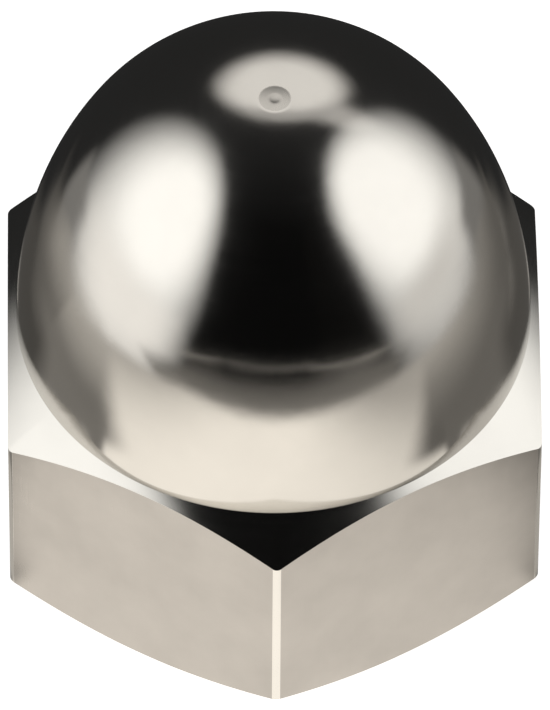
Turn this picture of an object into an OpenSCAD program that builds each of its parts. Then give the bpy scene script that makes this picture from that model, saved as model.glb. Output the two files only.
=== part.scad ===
// Domed cap nut, turned from hexagon bar and tapped blind from below.
// Millimetres. The bearing face lies on Z = 0 with its centre at the origin, the dome
// points along +Z, and one corner of the hexagon points along -Y.

/* [Hexagon] */
// Width across flats
across_flats = 12.9; // [12.6:0.1:16]
// Height of the hexagon, from the bearing face to the foot of the dome
hex_h = 6.5; // [5.5:0.1:8]
// Radius of the bar's drawn corners
corner_r = 0.2; // [0.05:0.05:0.7]
// How far the rim of the bearing face lies inside the flats
bearing_inset = 0.05; // [0.05:0.05:0.8]
// Angle of the chamfer round the bearing face, from the horizontal
bottom_chamfer = 30; // [15:1:45]
// Angle of the chamfer round the foot of the dome, from the horizontal
top_chamfer = 33; // [15:1:45]

/* [Dome] */
// Diameter of the dome at its foot, where it stands upright on the chamfer
foot_d = 12.5; // [11.8:0.1:12.8]
// Radius of the ball nose
nose_r = 5.7; // [5.2:0.05:6.1]
// Height of the whole nut
total_h = 14.6; // [13.5:0.1:20]

/* [Turning mark] */
// Diameter of the shallow dimple at the tip of the dome
mark_d = 0.8; // [0.4:0.1:2]
// Depth of that dimple below the tip
mark_depth = 0.04; // [0.02:0.01:0.15]
// Diameter of the nib that the tool leaves in the dimple
nib_d = 0.3; // [0.1:0.05:0.35]
// Height of that nib
nib_h = 0.03; // [0.01:0.01:0.15]

/* [Thread] */
// Nominal diameter of the metric thread
thread_d = 8; // [6.5:0.5:9]
// Pitch of the thread
thread_pitch = 1.25; // [0.75:0.25:1.5]
// How far the countersink at the mouth stands outside the thread, on the radius
countersink_margin = 0.3; // [0.1:0.1:0.6]
// Included angle of that countersink
countersink_angle = 120; // [90:5:130]
// Metal left between the drill's point and the tip of the dome
tip_wall = 2.2; // [1.2:0.1:3]
// Included angle of the drill's point
point_angle = 118; // [90:1:140]

/* [Thread relief] */
// How far the relief behind the thread stands outside the thread, on the radius
relief_clearance = 0.2; // [0.1:0.05:0.5]
// Length of the relief with its run-in
relief_l = 5; // [3:0.1:6]
// Angle of the relief's run-in, from the axis
relief_angle = 30; // [20:1:60]
// Radius in the corner at the end of the relief
relief_r = 0.4; // [0.1:0.1:0.7]

/* [Hidden] */
arc_steps = 96;        // steps of a round edge in the preview
turn_steps = 180;      // steps of a turned surface in the preview
cut = 1;               // overshoot of a cut past the face that it opens
graze = 0.001;         // how far a corner's round crosses the flats, so that it never only touches them

corner_dist = across_flats / sqrt(3);                  // axis to a sharp corner
bearing_r = across_flats / 2 - bearing_inset;
foot_r = foot_d / 2;

// The dome's outline is a side arc that stands upright on the foot and runs on into the ball
// nose with no corner: the two arcs share one tangent where they meet.
nose_z = total_h - nose_r;                             // height of the ball's centre
side_r = (pow(foot_r, 2) + pow(nose_z - hex_h, 2) - pow(nose_r, 2)) / (2 * (foot_r - nose_r));
side_x = foot_r - side_r;                              // the side arc's centre, level with the foot
joint_z = nose_z + nose_r * (nose_z - hex_h) / (side_r - nose_r);

// The dimple is a cap of a sphere, cut into the tip; its rim is where both surfaces meet.
mark_r = mark_d / 2;
mark_rim_z = nose_z + sqrt(pow(nose_r, 2) - pow(mark_r, 2));
mark_floor_z = total_h - mark_depth;
mark_drop = mark_rim_z - mark_floor_z;
mark_sphere_r = (pow(mark_r, 2) + pow(mark_drop, 2)) / (2 * mark_drop);

// A metric thread's crests stand 5/8 of its sharp height in from the nominal diameter.
minor_r = thread_d / 2 - thread_pitch * sqrt(3) / 2 * 5 / 8;
countersink_r = thread_d / 2 + countersink_margin;
countersink_h = (countersink_r - minor_r) / tan(countersink_angle / 2);
hole_z = total_h - tip_wall - minor_r / tan(point_angle / 2);   // end of the full bore
relief_bore_r = thread_d / 2 + relief_clearance;
relief_z = hole_z - relief_l;
relief_run_in = (relief_bore_r - minor_r) / tan(relief_angle);

// Cross-section of the drawn bar: a hexagon, one corner along -Y, with its corners rounded.
module bar_section() {
    round_dist = corner_dist - (corner_r - graze) / cos(30);    // axis to a round's centre
    intersection() {
        rotate(30) circle(r = corner_dist, $fn = 6);
        union() {
            circle(r = (round_dist + corner_r * cos(30)) / cos(30), $fn = 6);
            for (turn = [30:60:330])
                rotate(turn) translate([round_dist, 0]) circle(r = corner_r, $fn = arc_steps);
        }
    }
}

// Half outline of the hexagon's ends: bearing face and both chamfers, up to the dome's foot.
module hexagon_outline() {
    polygon([
        [0, 0],
        [bearing_r, 0],
        [corner_dist, (corner_dist - bearing_r) * tan(bottom_chamfer)],
        [corner_dist, hex_h - (corner_dist - foot_r) * tan(top_chamfer)],
        [foot_r, hex_h],
        [0, hex_h],
    ]);
}

// Half outline of the dome: side arc and ball nose, with the tool's mark at the tip.
module dome_outline() {
    difference() {
        union() {
            intersection() {
                translate([side_x, hex_h]) circle(r = side_r, $fn = turn_steps);
                translate([0, hex_h]) square([foot_r, joint_z - hex_h]);
            }
            intersection() {
                translate([0, nose_z]) circle(r = nose_r, $fn = turn_steps);
                translate([0, joint_z]) square([foot_r, total_h - joint_z]);
            }
        }
        translate([0, mark_floor_z + mark_sphere_r]) circle(r = mark_sphere_r, $fn = turn_steps);
    }
    polygon([
        [0, mark_floor_z - nib_h],
        [nib_d / 2, mark_floor_z - nib_h],
        [nib_d / 2, mark_floor_z],
        [0, mark_floor_z + nib_h],
    ]);
}

// Everything that the lathe cuts on the outside.
module turned_blank() {
    rotate_extrude($fn = turn_steps) {
        hexagon_outline();
        dome_outline();
    }
}

// The blind hole: countersink, bore at the thread's crests, relief and drill point.
module tapped_hole() {
    rotate_extrude($fn = turn_steps) {
        polygon([
            [0, -cut],
            [countersink_r + cut * tan(countersink_angle / 2), -cut],
            [minor_r, countersink_h],
            [minor_r, relief_z],
            [relief_bore_r, relief_z + relief_run_in],
            [relief_bore_r, hole_z - relief_r],
            [relief_bore_r - relief_r, hole_z - relief_r],
            [relief_bore_r - relief_r, hole_z],
            [minor_r, hole_z],
            [0, hole_z + minor_r / tan(point_angle / 2)],
        ]);
        translate([relief_bore_r - relief_r, hole_z - relief_r]) intersection() {
            circle(r = relief_r, $fn = arc_steps);
            square(relief_r);
        }
    }
}

module cap_nut() {
    color([0.78, 0.76, 0.72])
    difference() {
        intersection() {
            linear_extrude(total_h) bar_section();
            turned_blank();
        }
        tapped_hole();
    }
}

cap_nut();
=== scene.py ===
"""A polished stainless cap nut, dressed in the finishes that its making leaves.

The nut is made here as it is made in a shop. A hexagon bar is drawn, a lathe turns the dome, both chamfers
and the bearing face, the blank is drilled and undercut from below, and a tap cuts the thread.
Each tool leaves its own finish on the faces that it cuts. The flats' darker colour is partly painted shade,
and the broken edges' lighter colour is a painted highlight. Sizes are in millimetres until a mesh is placed.
"""

import logging
import math
from dataclasses import dataclass
from enum import Enum

import bmesh
import bpy
from mathutils import Matrix, Vector


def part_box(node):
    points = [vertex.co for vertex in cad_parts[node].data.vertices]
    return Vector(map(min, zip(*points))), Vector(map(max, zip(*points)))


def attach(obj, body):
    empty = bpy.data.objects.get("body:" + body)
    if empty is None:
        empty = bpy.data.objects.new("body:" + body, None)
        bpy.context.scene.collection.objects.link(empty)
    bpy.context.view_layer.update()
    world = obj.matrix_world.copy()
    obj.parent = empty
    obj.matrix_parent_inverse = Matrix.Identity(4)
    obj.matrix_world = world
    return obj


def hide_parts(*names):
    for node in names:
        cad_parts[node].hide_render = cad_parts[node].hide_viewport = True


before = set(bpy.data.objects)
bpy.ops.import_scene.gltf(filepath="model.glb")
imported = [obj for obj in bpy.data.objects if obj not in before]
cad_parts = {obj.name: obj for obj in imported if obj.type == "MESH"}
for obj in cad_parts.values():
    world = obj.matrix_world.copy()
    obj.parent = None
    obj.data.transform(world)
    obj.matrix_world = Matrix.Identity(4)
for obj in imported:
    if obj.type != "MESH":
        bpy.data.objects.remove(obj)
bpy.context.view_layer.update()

LOG = logging.getLogger("cap_nut")
MM = 0.001
NODE = "cap_nut"
BODY = "root"
WHITE = (1.0, 1.0, 1.0, 1.0)
Z_AXIS = Vector((0.0, 0.0, 1.0))


# --------------------------------------------------------------------------------------------------------
# Node graphs
# --------------------------------------------------------------------------------------------------------


class Graph:
    """A node tree with short calls that add its nodes and join them."""

    def __init__(self, owner: bpy.types.Material | bpy.types.World) -> None:
        """Clears the owner's tree.

        Args:
            owner: the material or world that holds the tree.
        """
        owner.use_nodes = True
        self.tree = owner.node_tree
        self.tree.nodes.clear()

    def add(self, kind: str, sockets: dict[str | int, object] | None = None, **settings: object
            ) -> bpy.types.Node:
        """Adds one node.

        Args:
            kind: the node's type, without the word ShaderNode.
            sockets: values or output sockets, by the input's name or number.
            settings: the node's own properties.

        Returns:
            The new node.
        """
        node = self.tree.nodes.new("ShaderNode" + kind)
        for name, value in settings.items():
            setattr(node, name, value)
        for name, value in (sockets or {}).items():
            if isinstance(value, bpy.types.NodeSocket):
                self.tree.links.new(value, node.inputs[name])
            else:
                node.inputs[name].default_value = value
        return node

    def math(self, operation: str, *values: float | bpy.types.NodeSocket) -> bpy.types.NodeSocket:
        """Adds a Math node.

        Args:
            operation: the node's operation.
            values: its inputs in order.

        Returns:
            The result's socket.
        """
        return self.add("Math", dict(enumerate(values)), operation=operation).outputs[0]

    def ramp(self, value: bpy.types.NodeSocket, low: float, high: float, start: float = 0.0,
             end: float = 1.0, kind: str = "LINEAR") -> bpy.types.NodeSocket:
        """Maps a range of a value to another range, and holds it at the ends.

        Args:
            value: what is mapped.
            low: the value that gives start.
            high: the value that gives end.
            start: the result at low.
            end: the result at high.
            kind: the interpolation.

        Returns:
            The result's socket.
        """
        sockets = {"Value": value, "From Min": low, "From Max": high, "To Min": start, "To Max": end}
        return self.add("MapRange", sockets, interpolation_type=kind).outputs[0]

    def noise(self, vector: bpy.types.NodeSocket, scale: float, detail: float = 2.0,
              roughness: float = 0.5) -> bpy.types.NodeSocket:
        """Adds a noise texture.

        Args:
            vector: the coordinates that it reads.
            scale: features for each unit of the coordinates.
            detail: octaves.
            roughness: strength of the finer octaves.

        Returns:
            The noise's value socket.
        """
        sockets = {"Vector": vector, "Scale": scale, "Detail": detail, "Roughness": roughness}
        return self.add("TexNoise", sockets).outputs["Fac"]

    def bump(self, height: bpy.types.NodeSocket, distance: float,
             normal: bpy.types.NodeSocket | None = None) -> bpy.types.NodeSocket:
        """Adds a bump.

        Args:
            height: the height, from 0 to 1.
            distance: the depth of that height, in metres.
            normal: the normal that it bends.

        Returns:
            The bent normal's socket.
        """
        sockets = {"Height": height, "Distance": distance, "Strength": 1.0}
        if normal is not None:
            sockets["Normal"] = normal
        return self.add("Bump", sockets).outputs[0]

    def mixed(self, share: float | bpy.types.NodeSocket, first: bpy.types.NodeSocket,
              second: bpy.types.NodeSocket) -> bpy.types.NodeSocket:
        """Adds a Mix Shader node.

        Args:
            share: how much of the second shader there is.
            first: the first shader.
            second: the second shader.

        Returns:
            The mixed shader's socket.
        """
        return self.add("MixShader", {0: share, 1: first, 2: second}).outputs[0]

    def object_axes(self) -> bpy.types.NodeOutputs:
        """Adds the place on the object, split by axis.

        Returns:
            Its three sockets, in metres.
        """
        return self.add("SeparateXYZ", {0: self.add("TexCoord").outputs["Object"]}).outputs


class Lay(Enum):
    """The direction in which a tool's marks run on a face."""

    ROUND = "circles round the axis, over a dome"
    FACED = "circles round the axis, on a flat end"
    DRAWN = "straight lines along the axis"
    BORED = "circles round the axis, along a bore"


@dataclass(frozen=True)
class SteelFinish:
    """Bare stainless steel with the marks of one operation.

    Attributes:
        name: the material's name.
        color: reflectance; on the flats partly painted shade, on the broken edges a painted highlight.
        shade: how far blotches darken the colour, as a share.
        roughness: lowest and highest roughness.
        lay: direction of the marks.
        mark_pitch: distance between marks, in millimetres.
        mark_depth: depth of the marks, in millimetres.
        wave_size: size of the slow unevenness, in millimetres.
        wave_depth: depth of that unevenness, in millimetres.
    """

    name: str
    color: tuple[float, float, float]
    shade: float
    roughness: tuple[float, float]
    lay: Lay
    mark_pitch: float
    mark_depth: float
    wave_size: float
    wave_depth: float

    def material(self) -> bpy.types.Material:
        """Makes the material. Marks and waves bend its normal, and blotches shade it and roughen it."""
        blotch_rate, blotch_range = 0.45, (0.35, 0.7)
        blotch_share, mark_share, rough_range = 0.7, 0.3, (0.3, 0.7)
        mix_clean, mix_shaded, mix_result = 6, 7, 2
        made = bpy.data.materials.new(self.name)
        graph = Graph(made)
        place = graph.add("TexCoord").outputs["Object"]
        marks = graph.noise(self.marks_place(graph, place), 1.0, detail=3.0, roughness=0.6)
        wave = graph.noise(place, 1 / (self.wave_size * MM), detail=2.0)
        blotch = graph.noise(place, blotch_rate / (self.wave_size * MM), detail=4.0, roughness=0.6)
        normal = graph.bump(wave, self.wave_depth * MM)
        normal = graph.bump(marks, self.mark_depth * MM, normal)
        shaded = [channel * (1 - self.shade) for channel in self.color]
        tone = graph.add("Mix", {"Factor": graph.ramp(blotch, *blotch_range), mix_clean: (*self.color, 1.0),
                                 mix_shaded: (*shaded, 1.0)}, data_type="RGBA")
        uneven = graph.math("ADD", graph.math("MULTIPLY", blotch, blotch_share),
                            graph.math("MULTIPLY", marks, mark_share))
        shader = graph.add("BsdfPrincipled", {
            "Base Color": tone.outputs[mix_result],
            "Metallic": 1.0,
            "Roughness": graph.ramp(uneven, *rough_range, *self.roughness),
            "Normal": normal,
        })
        graph.add("OutputMaterial", {"Surface": shader.outputs[0]})
        return made

    def marks_place(self, graph: Graph, place: bpy.types.NodeSocket) -> bpy.types.NodeSocket:
        """Lays out coordinates that run fast across the marks and slowly along them.

        Args:
            graph: the material's graph.
            place: object coordinates, in metres.

        Returns:
            The coordinates' socket, one unit for each mark.
        """
        stretch = 60
        fast = 1 / (self.mark_pitch * MM)
        slow = fast / stretch
        x, y, z = graph.add("SeparateXYZ", {0: place}).outputs
        if self.lay is Lay.DRAWN:
            rates = ((x, fast), (y, fast), (z, slow))
        else:
            rates = ((self.across_marks(graph, x, y, z), fast), (x, slow), (y, slow))
        parts = [graph.math("MULTIPLY", part, rate) for part, rate in rates]
        return graph.add("CombineXYZ", dict(enumerate(parts))).outputs[0]

    def across_marks(self, graph: Graph, x: bpy.types.NodeSocket, y: bpy.types.NodeSocket,
                     z: bpy.types.NodeSocket) -> bpy.types.NodeSocket:
        """Measures the way across the circles that a turned face's marks make.

        Args:
            graph: the material's graph.
            x: the place along X, in metres.
            y: the place along Y.
            z: the place along Z.

        Returns:
            The way's socket, in metres.
        """
        if self.lay is Lay.BORED:
            return z
        squares = [graph.math("MULTIPLY", part, part) for part in (x, y)]
        reach = graph.math("SQRT", graph.math("ADD", *squares))
        if self.lay is Lay.FACED:
            return reach
        height = graph.math("SUBTRACT", z, CapNut.hex_h * MM)
        return graph.math("MULTIPLY", graph.math("ARCTAN2", reach, height), CapNut.nose_r * MM)


STEEL = (0.78, 0.76, 0.72)
POLISHED = SteelFinish("buffed_dome", STEEL, shade=0.04, roughness=(0.09, 0.15), lay=Lay.ROUND,
                       mark_pitch=0.08, mark_depth=0.00004, wave_size=1.1, wave_depth=0.003)
TURNED = SteelFinish("turned_chamfer", (0.74, 0.725, 0.69), shade=0.05, roughness=(0.12, 0.2),
                     lay=Lay.FACED, mark_pitch=0.06, mark_depth=0.0003, wave_size=1.2, wave_depth=0.0003)
# The flats' colour is darker than the steel's: partly the greyer look of satin steel, partly painted shade.
DRAWN = SteelFinish("drawn_flats_painted_shade", (0.545, 0.52, 0.49), shade=0.08, roughness=(0.26, 0.38),
                    lay=Lay.DRAWN, mark_pitch=0.035, mark_depth=0.0004, wave_size=1.0, wave_depth=0.00055)
# The edges' colour is lighter than the steel's: a painted highlight on the rounded corners and broken edges.
EASED_PAINTED_HIGHLIGHT = SteelFinish("eased_edges_painted_highlight", (0.88, 0.86, 0.82), shade=0.03, roughness=(0.1, 0.18),
                    lay=Lay.DRAWN, mark_pitch=0.035, mark_depth=0.0002, wave_size=1.0, wave_depth=0.0003)
FACED = SteelFinish("faced_end", STEEL, shade=0.06, roughness=(0.2, 0.3), lay=Lay.FACED,
                    mark_pitch=0.11, mark_depth=0.0014, wave_size=1.4, wave_depth=0.0004)
BORED = SteelFinish("bored_hole", STEEL, shade=0.1, roughness=(0.22, 0.34), lay=Lay.BORED,
                    mark_pitch=0.07, mark_depth=0.0007, wave_size=1.0, wave_depth=0.0004)
MARKED = SteelFinish("turned_mark", (0.7, 0.68, 0.64), shade=0.05, roughness=(0.24, 0.34),
                     lay=Lay.FACED, mark_pitch=0.03, mark_depth=0.0004, wave_size=0.5, wave_depth=0.0002)
TAPPED = SteelFinish("tapped_thread", STEEL, shade=0.06, roughness=(0.16, 0.26), lay=Lay.BORED,
                     mark_pitch=0.04, mark_depth=0.0004, wave_size=1.0, wave_depth=0.0003)


# --------------------------------------------------------------------------------------------------------
# Meshes
# --------------------------------------------------------------------------------------------------------


def linked_object(shape: bmesh.types.BMesh, name: str, materials: list[bpy.types.Material]
                  ) -> bpy.types.Object:
    """Turns a shape in metres into an object at the origin.

    Args:
        shape: the shape, which is freed.
        name: the name of the object and of its mesh.
        materials: its materials, in the order of the faces' material numbers.

    Returns:
        The object, linked to the scene.
    """
    mesh = bpy.data.meshes.new(name)
    shape.to_mesh(mesh)
    shape.free()
    for material in materials:
        mesh.materials.append(material)
    made = bpy.data.objects.new(name, mesh)
    bpy.context.scene.collection.objects.link(made)
    return made


def finished_mesh(shape: bmesh.types.BMesh, name: str, finishes: list[SteelFinish]) -> bpy.types.Object:
    """Turns a shape in millimetres into an object in metres, at the origin.

    Args:
        shape: the shape, which is freed.
        name: the object's name.
        finishes: its finishes, in the order of the faces' material numbers.

    Returns:
        The object, linked to the scene.
    """
    bmesh.ops.recalc_face_normals(shape, faces=shape.faces)
    bmesh.ops.scale(shape, vec=(MM, MM, MM), verts=shape.verts)
    materials = [bpy.data.materials.get(finish.name) or finish.material() for finish in finishes]
    return linked_object(shape, name, materials)


def apply_modifiers(piece: bpy.types.Object) -> None:
    """Turns what an object's modifiers make into its own mesh.

    Args:
        piece: the object.
    """
    graph = bpy.context.evaluated_depsgraph_get()
    result = bpy.data.meshes.new_from_object(piece.evaluated_get(graph))
    piece.modifiers.clear()
    old = piece.data
    piece.data = result
    bpy.data.meshes.remove(old)


def cut(target: bpy.types.Object, tool: bpy.types.Object, operation: str) -> None:
    """Cuts one object with another, keeps the tool's finish on the new faces and removes the tool.

    Args:
        target: the object that is cut.
        tool: the cutter.
        operation: DIFFERENCE or INTERSECT.
    """
    boolean = target.modifiers.new(tool.name, "BOOLEAN")
    boolean.operation = operation
    boolean.object = tool
    boolean.solver = "EXACT"
    boolean.material_mode = "TRANSFER"
    apply_modifiers(target)
    bpy.data.objects.remove(tool)


def saw_off(shape: bmesh.types.BMesh, height: float, outward: int) -> None:
    """Saws off one end of a shape, square to the Z axis, and closes the cut.

    Args:
        shape: the shape.
        height: height of the cut.
        outward: 1 to take off what is above it, -1 to take off what is below.
    """
    on_cut = 1e-4
    bmesh.ops.bisect_plane(shape, geom=shape.verts[:] + shape.edges[:] + shape.faces[:], dist=1e-6,
                           plane_co=(0, 0, height), plane_no=(0, 0, outward), clear_outer=True)
    rim = [e for e in shape.edges if e.is_boundary and all(abs(v.co.z - height) < on_cut for v in e.verts)]
    bmesh.ops.contextual_create(shape, geom=rim)


class Outline:
    """An open outline in the XZ plane, drawn point by point and then turned round the Z axis."""

    def __init__(self, reach: float, height: float) -> None:
        """Starts the outline.

        Args:
            reach: radius of its first point, in millimetres.
            height: height of that point.
        """
        self.shape = bmesh.new()
        self.tip = self.shape.verts.new((reach, 0, height))

    def line(self, reach: float, height: float) -> bmesh.types.BMVert:
        """Draws a straight stretch.

        Args:
            reach: radius of its end, in millimetres.
            height: height of its end.

        Returns:
            The corner at its end.
        """
        corner = self.shape.verts.new((reach, 0, height))
        self.shape.edges.new((self.tip, corner))
        self.tip = corner
        return corner

    def arc(self, reach: float, height: float, angle: float, steps: int) -> bmesh.types.BMVert:
        """Draws an arc, counter-clockwise as seen with the axis on the left.

        Args:
            reach: radius at which its centre lies.
            height: height of its centre.
            angle: how far it turns.
            steps: steps of the arc.

        Returns:
            The corner at its end.
        """
        swept = bmesh.ops.spin(self.shape, geom=[self.tip], cent=(reach, 0, height), axis=(0, -1, 0),
                               angle=angle, steps=steps)
        self.tip = next(v for v in swept["geom_last"] if isinstance(v, bmesh.types.BMVert))
        return self.tip

    def round(self, corner: bmesh.types.BMVert, offset: float, steps: int) -> None:
        """Rounds a corner.

        Args:
            corner: the corner.
            offset: how far from it the round starts, along both edges.
            steps: steps of the round.
        """
        bmesh.ops.bevel(self.shape, geom=[corner], offset=offset, offset_type="OFFSET", segments=steps,
                        profile=0.5, affect="VERTICES", material=-1)

    def turn(self, steps: int) -> bmesh.types.BMesh:
        """Turns the outline once round the Z axis, closed at its poles, with smooth faces.

        Args:
            steps: steps of the full turn.

        Returns:
            The turned shape.
        """
        shape = self.shape
        bmesh.ops.spin(shape, geom=shape.verts[:] + shape.edges[:], cent=(0, 0, 0), axis=Z_AXIS,
                       angle=math.tau, steps=steps, use_merge=True)
        bmesh.ops.remove_doubles(shape, verts=shape.verts, dist=1e-5)
        for face in shape.faces:
            face.smooth = True
        return shape


@dataclass
class CapNut:
    """The whole nut, one piece of steel. Lengths are in millimetres and angles in radians.

    Attributes:
        across_flats: width of the hexagon across its flats.
        hex_h: height of the hexagon, up to the foot of the dome.
        corner_r: radius of the bar's drawn corners.
        bearing_inset: how far the rim of the bearing face lies inside the flats.
        bottom_chamfer: angle of the lower chamfer from the horizontal.
        top_chamfer: angle of the upper chamfer from the horizontal.
        edge_break: how far the polisher takes the sharp edges back.
        foot_r: radius of the dome where it stands upright on the chamfer.
        nose_r: radius of the ball nose.
        total_h: height of the nut.
        mark_r: radius of the dimple at the tip.
        mark_depth: depth of the dimple.
        nib_r: radius of the nib that the tool leaves in it.
        nib_h: height of that nib.
        major_r: nominal radius of the thread.
        pitch: pitch of the thread.
        thread_angle: angle between the thread's flanks.
        countersink_margin: how far the countersink stands outside the thread.
        countersink_angle: included angle of the countersink.
        tip_wall: metal between the drill's point and the tip.
        point_angle: included angle of the drill's point.
        relief_clearance: how far the relief stands outside the thread.
        relief_l: length of the relief with its run-in.
        relief_angle: angle of the run-in from the axis.
        relief_r: radius in the relief's corner.
        spare: how far a cutter reaches past the nut.
        turn_steps: steps of a turn on the outside.
        bore_steps: steps of a turn inside.
        thread_steps: steps of one turn of the thread.
    """

    across_flats: float
    hex_h: float = 6.5
    corner_r: float = 0.2
    bearing_inset: float = 0.05
    bottom_chamfer: float = math.radians(30)
    top_chamfer: float = math.radians(33)
    edge_break: float = 0.08
    foot_r: float = 6.25
    nose_r: float = 5.7
    total_h: float = 14.6
    mark_r: float = 0.4
    mark_depth: float = 0.04
    nib_r: float = 0.15
    nib_h: float = 0.03
    major_r: float = 4.0
    pitch: float = 1.25
    thread_angle: float = math.radians(60)
    countersink_margin: float = 0.3
    countersink_angle: float = math.radians(120)
    tip_wall: float = 2.2
    point_angle: float = math.radians(118)
    relief_clearance: float = 0.2
    relief_l: float = 5.0
    relief_angle: float = math.radians(30)
    relief_r: float = 0.4
    spare: float = 1.0
    turn_steps: int = 384
    bore_steps: int = 192
    thread_steps: int = 120

    def __post_init__(self) -> None:
        """Works out what follows from the driving sizes."""
        self.corner_dist = self.across_flats / math.sqrt(3)
        self.bearing_r = self.across_flats / 2 - self.bearing_inset
        self.nose_z = self.total_h - self.nose_r
        rise = self.nose_z - self.hex_h
        self.side_r = (self.foot_r ** 2 + rise ** 2 - self.nose_r ** 2) / (2 * (self.foot_r - self.nose_r))
        self.joint_angle = math.asin(rise / (self.side_r - self.nose_r))
        sharp_h = self.pitch * math.sqrt(3) / 2
        self.minor_r = self.major_r - sharp_h * 5 / 8
        self.hole_z = self.total_h - self.tip_wall - self.minor_r / math.tan(self.point_angle / 2)

    def bar(self) -> bpy.types.Object:
        """Draws the hexagon bar, one corner along -Y, with its corners rounded."""
        corner_steps = 9
        half_turn = math.radians(30)
        finishes = [DRAWN, EASED_PAINTED_HIGHLIGHT]
        shape = bmesh.new()
        bmesh.ops.create_circle(shape, cap_ends=True, segments=6, radius=self.corner_dist,
                                matrix=Matrix.Translation((0, 0, -self.spare)))
        grown = bmesh.ops.extrude_face_region(shape, geom=shape.faces[:])["geom"]
        top = [v for v in grown if isinstance(v, bmesh.types.BMVert)]
        bmesh.ops.translate(shape, vec=(0, 0, self.total_h + 2 * self.spare), verts=top)
        upright = [e for e in shape.edges if abs(e.verts[0].co.z - e.verts[1].co.z) > self.spare]
        # The rounded corners take the lighter edge finish, whose colour is a painted highlight.
        bmesh.ops.bevel(shape, geom=upright, offset=self.corner_r * math.tan(half_turn), offset_type="OFFSET",
                        segments=corner_steps, profile=0.5, affect="EDGES", material=finishes.index(EASED_PAINTED_HIGHLIGHT))
        return finished_mesh(shape, "bar", finishes)

    def turned_blank(self) -> bpy.types.Object:
        """Turns everything that the lathe cuts on the outside."""
        side_steps, nose_steps, edge_steps, dish_steps = 36, 72, 3, 6
        margin = 0.2
        finishes = [POLISHED, FACED, MARKED, TURNED]
        over = self.corner_dist + margin
        rim_angle = math.acos(self.mark_r / self.nose_r)
        dish_z = self.total_h - self.mark_depth
        dish_depth = self.nose_z + math.sqrt(self.nose_r ** 2 - self.mark_r ** 2) - dish_z
        dish_r = (self.mark_r ** 2 + dish_depth ** 2) / (2 * dish_depth)
        dish_sweep = math.asin(self.nib_r / dish_r) - math.asin(self.mark_r / dish_r)
        outline = Outline(0, 0)
        bearing_rim = outline.line(self.bearing_r, 0)
        outline.line(over, (over - self.bearing_r) * math.tan(self.bottom_chamfer))
        outline.line(over, self.hex_h - (over - self.foot_r) * math.tan(self.top_chamfer))
        outline.line(self.foot_r, self.hex_h)
        outline.arc(self.foot_r - self.side_r, self.hex_h, self.joint_angle, side_steps)
        mark_rim = outline.arc(0, self.nose_z, rim_angle - self.joint_angle, nose_steps)
        nib_foot = outline.arc(0, dish_z + dish_r, dish_sweep, dish_steps)
        outline.line(0, dish_z + self.nib_h)
        outline.round(bearing_rim, self.edge_break, edge_steps)
        outline.round(mark_rim, self.edge_break / 2, edge_steps)
        outline.round(nib_foot, self.edge_break / 2, edge_steps)
        shape = outline.turn(self.turn_steps)
        for face in shape.faces:
            face.material_index = finishes.index(self.turned_finish(face.calc_center_median()))
        return finished_mesh(shape, "turned_blank", finishes)

    def turned_finish(self, place: Vector) -> SteelFinish:
        """Tells which finish the lathe leaves at a place on the outside.

        Args:
            place: the place, in millimetres.

        Returns:
            The finish.
        """
        lower_part, dish_share = 1 / 4, 0.95
        if place.z < self.hex_h * lower_part:
            return FACED
        if place.z < self.hex_h:
            return TURNED
        in_dish = place.z > self.nose_z and math.hypot(place.x, place.y) < self.mark_r * dish_share
        return MARKED if in_dish else POLISHED

    def drilled_hole(self) -> bpy.types.Object:
        """Turns the form of the hole: countersink, bore, relief and drill point."""
        corner_steps = 6
        mouth_r = self.major_r + self.countersink_margin
        slope = math.tan(self.countersink_angle / 2)
        relief_bore = self.major_r + self.relief_clearance
        relief_z = self.hole_z - self.relief_l
        run_in = (relief_bore - self.minor_r) / math.tan(self.relief_angle)
        outline = Outline(0, -self.spare)
        outline.line(mouth_r + self.spare * slope, -self.spare)
        outline.line(self.minor_r, (mouth_r - self.minor_r) / slope)
        outline.line(self.minor_r, relief_z)
        outline.line(relief_bore, relief_z + run_in)
        relief_corner = outline.line(relief_bore, self.hole_z)
        outline.line(self.minor_r, self.hole_z)
        outline.line(0, self.hole_z + self.minor_r / math.tan(self.point_angle / 2))
        outline.round(relief_corner, self.relief_r, corner_steps)
        return finished_mesh(outline.turn(self.bore_steps), "drilled_hole", [BORED])

    def tap(self) -> bpy.types.Object:
        """Turns the tap: a right-hand ridge wound from below the mouth into the relief."""
        sunk, short, round_share, round_steps = 0.1, 0.3, 0.6, 2
        inner_r = self.minor_r - sunk
        half_root = self.pitch / 8 / 2
        half_base = half_root + (self.major_r - inner_r) * math.tan(self.thread_angle / 2)
        turns = math.ceil((self.hole_z - self.relief_r) / self.pitch) + 2
        start = -2 * self.pitch
        end = self.hole_z - self.relief_r - short
        ridge = Outline(inner_r, start)
        ridge.line(inner_r, start + self.pitch - 2 * half_base)
        root_low = ridge.line(self.major_r, start + self.pitch - half_base - half_root)
        root_high = ridge.line(self.major_r, start + self.pitch - half_base + half_root)
        ridge.line(inner_r, start + self.pitch)
        ridge.round(root_low, half_root * round_share, round_steps)
        ridge.round(root_high, half_root * round_share, round_steps)
        shape = ridge.shape
        bmesh.ops.spin(shape, geom=shape.verts[:] + shape.edges[:], cent=(0, 0, 0), axis=Z_AXIS,
                       dvec=(0, 0, self.pitch / self.thread_steps), angle=math.tau * turns,
                       steps=turns * self.thread_steps)
        bmesh.ops.remove_doubles(shape, verts=shape.verts, dist=1e-4)
        saw_off(shape, -self.pitch / 2, -1)
        saw_off(shape, end, 1)
        return finished_mesh(shape, "tap", [TAPPED])

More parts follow.
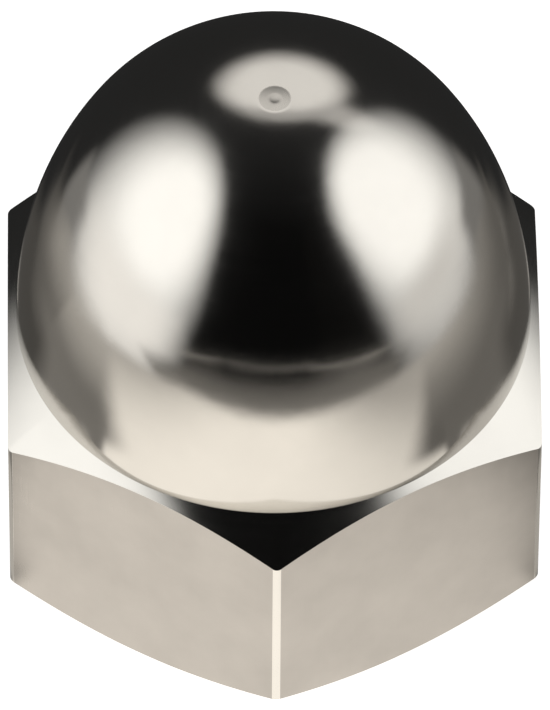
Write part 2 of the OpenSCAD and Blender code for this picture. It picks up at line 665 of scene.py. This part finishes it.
    def break_edges(self, piece: bpy.types.Object) -> None:
        """Takes the sharpness off the edges where the chamfers meet the flats.

        Args:
            piece: the nut.
        """
        smallest, edge_steps, sharp = 0.002, 3, math.radians(24)
        names = [m.name for m in piece.data.materials]
        drawn, eased_highlight = names.index(DRAWN.name), names.index(EASED_PAINTED_HIGHLIGHT.name)
        shape = bmesh.new()
        shape.from_mesh(piece.data)

        def rims() -> list[bmesh.types.BMEdge]:
            """Lists the edges that have the drawn bar on one side and a cut face on the other."""
            return [e for e in shape.edges if len(e.link_faces) == 2
                    and sum(f.material_index in (drawn, eased_highlight) for f in e.link_faces) == 1]

        bmesh.ops.scale(shape, vec=(1 / MM,) * 3, verts=shape.verts)
        # A dict holds each corner once and in the mesh's order, which a set wouldn't.
        corners = list(dict.fromkeys(v for e in rims() for v in e.verts))
        bmesh.ops.remove_doubles(shape, verts=corners, dist=smallest)
        # The new rounds take the lighter edge finish too, whose colour is a painted highlight.
        bmesh.ops.bevel(shape, geom=rims(), offset=self.edge_break, offset_type="OFFSET", segments=edge_steps,
                        profile=0.5, affect="EDGES", material=eased_highlight, clamp_overlap=True)
        bmesh.ops.scale(shape, vec=(MM,) * 3, verts=shape.verts)
        for edge in shape.edges:
            edge.smooth = len(edge.link_faces) == 2 and edge.calc_face_angle(0) < sharp
        for face in shape.faces:
            face.smooth = True
        shape.to_mesh(piece.data)
        shape.free()
        weighted = piece.modifiers.new("true_flats", "WEIGHTED_NORMAL")
        weighted.keep_sharp = True
        apply_modifiers(piece)

    def build(self) -> bpy.types.Object:
        """Makes the nut in the order of the shop and puts it on its body."""
        piece = self.turned_blank()
        cut(piece, self.bar(), "INTERSECT")
        cut(piece, self.drilled_hole(), "DIFFERENCE")
        cut(piece, self.tap(), "DIFFERENCE")
        self.break_edges(piece)
        piece.name = piece.data.name = "cap_nut_steel"
        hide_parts(NODE)
        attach(piece, BODY)
        return piece


# --------------------------------------------------------------------------------------------------------
# Studio
# --------------------------------------------------------------------------------------------------------


LAMP_TINT = (1.0, 0.97, 0.93)
PANEL_TINT = (1.0, 0.99, 0.965)
TABLE_TINT = (1.0, 0.945, 0.866)


class Wall(Enum):
    """Where a card is: the axis across it, and the side of the nut on that axis."""

    LEFT = (0, -1)
    RIGHT = (0, 1)
    BACK = (1, 1)
    TABLE = (2, 1)


@dataclass(frozen=True)
class Card:
    """A soft-edged card that the steel mirrors: a light panel, or a dark flag. Lengths are in millimetres.

    On an upright card the span runs along Y or X and the rise along Z. On the table they run along X and Y.

    Attributes:
        name: the card's name.
        wall: where it is.
        offset: how far it is from the nut's axis. On the table it is the card's height.
        span: its two ends.
        rise: its lower and upper edge, or its front and back edge on the table.
        soft: widths of its soft edges, at both ends of the span and then of the rise. A card with only one
            is an ellipse, and its edge has that width at the ends of the span.
        strength: brightness, where 1 is white.
        tint: colour.
        turn: turn on its own plane about its centre, in degrees.
    """

    name: str
    wall: Wall
    offset: float
    span: tuple[float, float]
    rise: tuple[float, float]
    soft: tuple[float, ...]
    strength: float
    tint: tuple[float, float, float] = LAMP_TINT
    turn: float = 0.0

    def build(self) -> bpy.types.Object:
        """Makes the card."""
        half = self.half()
        shape = bmesh.new()
        bmesh.ops.create_grid(shape, x_segments=1, y_segments=1, size=1.0)
        bmesh.ops.scale(shape, vec=(half[0] * MM, half[1] * MM, 1), verts=shape.verts)
        card = linked_object(shape, self.name, [self.material()])
        card.matrix_world = self.place()
        card.visible_camera = False
        if self.wall is Wall.TABLE:
            card.visible_diffuse = False
            card.visible_shadow = False
        return card

    def half(self) -> tuple[float, float]:
        """Gives half the card's size along its two axes."""
        return (self.span[1] - self.span[0]) / 2, (self.rise[1] - self.rise[0]) / 2

    def place(self) -> Matrix:
        """Gives the card's place, with its two axes along the wall and its turn, in metres."""
        across, side = self.wall.value
        first, second = (axis for axis in range(3) if axis != across)
        unit = Matrix.Identity(3)
        axes = Matrix((unit[first], unit[second], unit[across])).transposed()
        centre = axes @ Vector((sum(self.span) / 2, sum(self.rise) / 2, self.offset * side))
        turned = Matrix.Rotation(math.radians(self.turn), 4, "Z")
        return Matrix.Translation(centre * MM) @ axes.to_4x4() @ turned

    def material(self) -> bpy.types.Material:
        """Makes the glow, which fades out over the soft edges."""
        made = bpy.data.materials.new(self.name)
        graph = Graph(made)
        cover = self.round_cover(graph) if len(self.soft) == 1 else self.square_cover(graph)
        glow = graph.add("Emission", {"Color": (*self.tint, 1.0), "Strength": self.strength}).outputs[0]
        clear = graph.add("BsdfTransparent").outputs[0]
        graph.add("OutputMaterial", {"Surface": graph.mixed(cover, clear, glow)})
        return made

    def square_cover(self, graph: Graph) -> bpy.types.NodeSocket:
        """Works out how much of a rectangular card there is at a point.

        Args:
            graph: the card's graph.

        Returns:
            A socket from 0 to 1.
        """
        axes, half = graph.object_axes(), self.half()
        cover = 1.0
        for axis, low_soft, high_soft in ((0, *self.soft[:2]), (1, *self.soft[2:])):
            edge = half[axis] * MM
            low = graph.ramp(axes[axis], -edge, low_soft * MM - edge, kind="SMOOTHSTEP")
            high = graph.ramp(axes[axis], edge - high_soft * MM, edge, 1.0, 0.0, "SMOOTHSTEP")
            cover = graph.math("MULTIPLY", cover, graph.math("MULTIPLY", low, high))
        return cover

    def round_cover(self, graph: Graph) -> bpy.types.NodeSocket:
        """Works out how much of an elliptical card there is at a point.

        Args:
            graph: the card's graph.

        Returns:
            A socket from 0 to 1.
        """
        half = self.half()
        shares = [graph.math("POWER", graph.math("DIVIDE", place, size * MM), 2.0)
                  for place, size in zip(graph.object_axes(), half)]
        reach = graph.math("SQRT", graph.math("ADD", *shares))
        return graph.ramp(reach, 1 - self.soft[0] / half[0], 1.0, 1.0, 0.0, "SMOOTHSTEP")


def seen_white(graph: Graph) -> bpy.types.NodeSocket:
    """Tells the rays that see the white surroundings from those that only carry light.

    Args:
        graph: the graph that asks.

    Returns:
        A socket that is 1 for the camera, for mirrors and for glass, and 0 otherwise.
    """
    path = graph.add("LightPath").outputs
    mirrored = graph.math("MAXIMUM", path["Is Glossy Ray"], path["Is Transmission Ray"])
    return graph.math("MAXIMUM", path["Is Camera Ray"], mirrored)


@dataclass(frozen=True)
class Floor:
    """The white floor, with the nut's faint shadow.

    Attributes:
        reach: half its side, in metres.
        drop: how far it lies under the nut, in millimetres.
        glow: the share of its white that shadows don't reach.
        albedo: its colour for the rest.
    """

    reach: float = 3.0
    drop: float = 0.01
    glow: float = 0.8
    albedo: float = 0.8

    def build(self) -> bpy.types.Object:
        """Makes the floor."""
        shape = bmesh.new()
        bmesh.ops.create_grid(shape, x_segments=1, y_segments=1, size=self.reach,
                              matrix=Matrix.Translation((0, 0, -self.drop * MM)))
        floor = linked_object(shape, "floor", [self.material()])
        floor.visible_glossy = False
        return floor

    def material(self) -> bpy.types.Material:
        """Makes the white, seen from above only, so that the nut's underside can be looked at."""
        made = bpy.data.materials.new("white_floor")
        graph = Graph(made)
        glow = graph.add("Emission", {"Color": WHITE, "Strength": self.glow}).outputs[0]
        lit = graph.add("BsdfDiffuse", {"Color": (self.albedo,) * 3 + (1,)}).outputs[0]
        white = graph.add("AddShader", {0: glow, 1: lit}).outputs[0]
        from_above = graph.mixed(seen_white(graph), lit, white)
        from_below = graph.add("BsdfTransparent").outputs[0]
        side = graph.add("NewGeometry").outputs["Backfacing"]
        graph.add("OutputMaterial", {"Surface": graph.mixed(side, from_above, from_below)})
        return made


@dataclass(frozen=True)
class Studio:
    """A white floor, light panels left, right and behind, a lit plate in front, and black round the rest.

    Attributes:
        panel: distance of the panels, in millimetres.
        tent: radius of the black tent behind them, in millimetres.
        dark: brightness of the black, in front of the nut and far behind it.
    """

    panel: float = 150.0
    tent: float = 700.0
    dark: tuple[float, float] = (0.003, 0.02)

    def wall_cards(self) -> list[Card]:
        """Lists the upright cards. Skirts and flags stand in front of the panels, at a smaller offset."""
        left, right, back, at = Wall.LEFT, Wall.RIGHT, Wall.BACK, self.panel
        return [
            Card("left_panel", left, at, span=(-235, 168), rise=(-140, 412), soft=(148,), strength=1.32,
                 tint=PANEL_TINT, turn=-11),
            Card("left_skirt", left, at - 1, span=(-200, 90), rise=(-75, 60), soft=(120, 120, 60, 60),
                 strength=1.05),
            Card("right_panel", right, at, span=(-194, 180), rise=(-120, 412), soft=(125,), strength=1.27,
                 tint=PANEL_TINT, turn=-7),
            Card("right_skirt", right, at - 1, span=(-140, 90), rise=(-55, 50), soft=(85, 115, 55, 50),
                 strength=0.72),
            Card("right_gobo", right, at - 2, span=(-400, -105), rise=(-60, 500), soft=(10, 70, 10, 10),
                 strength=0.004),
            Card("left_shade", left, at - 3, span=(30, 130), rise=(-85, 4), soft=(38, 30, 15, 20),
                 strength=0.22),
            Card("right_shade", right, at - 3, span=(20, 135), rise=(-85, 6), soft=(30, 40, 15, 22),
                 strength=0.2),
            Card("back_panel", back, at, span=(-90, 114), rise=(50, 285), soft=(45,), strength=0.84),
            Card("back_glow", back, at + 1, span=(-94, 128), rise=(46, 370), soft=(45,), strength=0.42),
            Card("back_corner", back, at + 2, span=(40, 240), rise=(140, 340), soft=(60, 60, 70, 100),
                 strength=0.48),
        ]

    def table_cards(self) -> list[Card]:
        """Lists the cards on the table, from the top one down: rims, flags, the lit plate and lines."""
        table, tint = Wall.TABLE, TABLE_TINT
        return [
            Card("left_rim", table, -0.01, span=(-17.5, -8), rise=(-0.5, 12), soft=(5, 0.5, 3, 3),
                 strength=0.07, tint=tint),
            Card("right_rim", table, -0.01, span=(8, 18), rise=(-0.5, 12), soft=(0.5, 5, 3, 3),
                 strength=0.08, tint=tint),
            Card("left_edge", table, -0.015, span=(-12, -6.5), rise=(-5, 1), soft=(1.2, 0.5, 1, 2),
                 strength=0.45, tint=tint),
            Card("right_edge", table, -0.015, span=(6.5, 12), rise=(-5, 1), soft=(0.5, 1.2, 1, 2),
                 strength=0.4, tint=tint),
            Card("left_foot", table, -0.02, span=(-21.5, -8.5), rise=(-7.6, 8.4), soft=(6, 0.5, 0.6, 8),
                 strength=0.2, tint=tint, turn=30),
            Card("right_foot", table, -0.02, span=(8.5, 21.5), rise=(-7.6, 8.4), soft=(0.5, 6, 0.6, 8),
                 strength=0.15, tint=tint, turn=-30),
            Card("left_flag", table, -0.03, span=(-38.5, -13.7), rise=(-13.2, 22.4), soft=(24, 2, 4, 22),
                 strength=0.115, tint=tint, turn=16),
            Card("right_flag", table, -0.03, span=(14.4, 41.4), rise=(-16.8, 19.5), soft=(1.6, 26, 3, 12),
                 strength=0.12, tint=tint, turn=-25),
            Card("plate_core", table, -0.05, span=(-34, 22), rise=(-36, 3), soft=(28, 22, 7, 1),
                 strength=1.1, tint=tint, turn=5),
            Card("plate", table, -0.06, span=(-36, 36), rise=(-38, 10), soft=(6.5,),
                 strength=0.45, tint=tint, turn=5),
            Card("plate_shade", table, -0.07, span=(-48, 48), rise=(-85, -25), soft=(18, 18, 45, 4),
                 strength=0.15, tint=tint),
            Card("table_line", table, -0.08, span=(-60, 40), rise=(-133, -120), soft=(22, 24, 4, 4),
                 strength=0.7, tint=tint),
            Card("left_line", table, -0.09, span=(-58, -48), rise=(-132, -55), soft=(3, 3, 24, 24),
                 strength=0.5, tint=tint, turn=9),
            Card("right_line", table, -0.09, span=(34, 44), rise=(-130, -34), soft=(3, 3, 24, 24),
                 strength=0.5, tint=tint, turn=-20),
            Card("left_table", table, -0.1, span=(-44, -12), rise=(-14, 16), soft=(20, 12, 6, 8),
                 strength=0.5, tint=tint),
            Card("right_table", table, -0.1, span=(12, 42), rise=(-14, 16), soft=(12, 16, 6, 8),
                 strength=0.4, tint=tint),
        ]

    def black_tent(self) -> bpy.types.Object:
        """Makes the black tent, which only the steel sees."""
        shape = bmesh.new()
        bmesh.ops.create_uvsphere(shape, u_segments=48, v_segments=24, radius=self.tent * MM)
        tent = linked_object(shape, "black_tent", [self.black()])
        tent.visible_camera = tent.visible_diffuse = tent.visible_shadow = tent.visible_transmission = False
        return tent

    def black(self) -> bpy.types.Material:
        """Makes the tent's black, which is a little lighter behind the nut."""
        made = bpy.data.materials.new("black_tent")
        graph = Graph(made)
        reach = self.tent * MM
        depth = graph.object_axes()[1]
        glow = graph.ramp(depth, -reach / 2, reach / 2, *self.dark)
        lit = graph.add("Emission", {"Color": WHITE, "Strength": glow}).outputs[0]
        graph.add("OutputMaterial", {"Surface": lit})
        return made

    def world(self) -> None:
        """Makes the surroundings: white where they are seen, dark where they would only give light."""
        world = bpy.data.worlds.new("studio")
        bpy.context.scene.world = world
        graph = Graph(world)
        room = graph.add("Background", {"Color": WHITE, "Strength": self.dark[0]}).outputs[0]
        white = graph.add("Background", {"Color": WHITE, "Strength": 1.0}).outputs[0]
        graph.add("OutputWorld", {"Surface": graph.mixed(seen_white(graph), room, white)})

    def build(self) -> list[bpy.types.Object]:
        """Builds the world, the floor, the tent and the cards."""
        self.world()
        cards = self.wall_cards() + self.table_cards()
        return [Floor().build(), self.black_tent(), *(card.build() for card in cards)]


@dataclass(frozen=True)
class LongLens:
    """The camera: a long lens that looks down on the corner of the hexagon.

    Attributes:
        elevation: angle above the horizon, in degrees.
        azimuth: angle round the nut, in degrees.
        roll: turn about the line of sight, in degrees.
        distance: distance from the point that it stands level with, in millimetres.
        lens: focal length, in millimetres.
        sensor: width of the sensor, in millimetres.
        clip: nearest and farthest distance that it sees, in metres.
        level: height of that point on the nut's axis, in millimetres.
        drop: how far below that point it looks, in millimetres.
        aside: how far to the right of that point it looks, in millimetres.
    """

    elevation: float = 51.636
    azimuth: float = -1.013
    roll: float = 0.411
    distance: float = 346.46
    lens: float = 723.6
    sensor: float = 36.0
    clip: tuple[float, float] = (0.01, 20.0)
    level: float = 6.45
    drop: float = 1.089
    aside: float = 0.04

    def build(self) -> bpy.types.Object:
        """Makes the camera and makes it the scene's own."""
        data = bpy.data.cameras.new("camera")
        data.lens = self.lens
        data.sensor_width = self.sensor
        data.clip_start, data.clip_end = self.clip
        camera = bpy.data.objects.new("camera", data)
        turn, lift = math.radians(self.azimuth), math.radians(self.elevation)
        back = Vector((math.sin(turn) * math.cos(lift), -math.cos(turn) * math.cos(lift), math.sin(lift)))
        centre = Z_AXIS * self.level
        camera.location = (centre + back * self.distance) * MM
        tilt = Matrix.Rotation(math.radians(self.roll), 4, "Z").to_quaternion()
        straight = (-back).to_track_quat("-Z", "Y") @ tilt
        aim = centre + straight @ Vector((self.aside, -self.drop, 0))
        camera.rotation_mode = "QUATERNION"
        camera.rotation_quaternion = (aim - centre - back * self.distance).to_track_quat("-Z", "Y") @ tilt
        bpy.context.scene.collection.objects.link(camera)
        bpy.context.scene.camera = camera
        return camera


def main() -> None:
    """Builds the nut and its studio."""
    logging.basicConfig(level=logging.INFO, format="%(name)s: %(message)s")
    bpy.context.scene.view_settings.view_transform = "Standard"
    LongLens().build()
    for card in Studio().build():
        LOG.info("studio: %s", card.name)
    low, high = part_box(NODE)
    nut = CapNut(across_flats=round((high.x - low.x) / MM, 3))
    piece = nut.build()
    LOG.info("%s: %d faces", piece.name, len(piece.data.polygons))


if __name__ == "__main__":
    main()
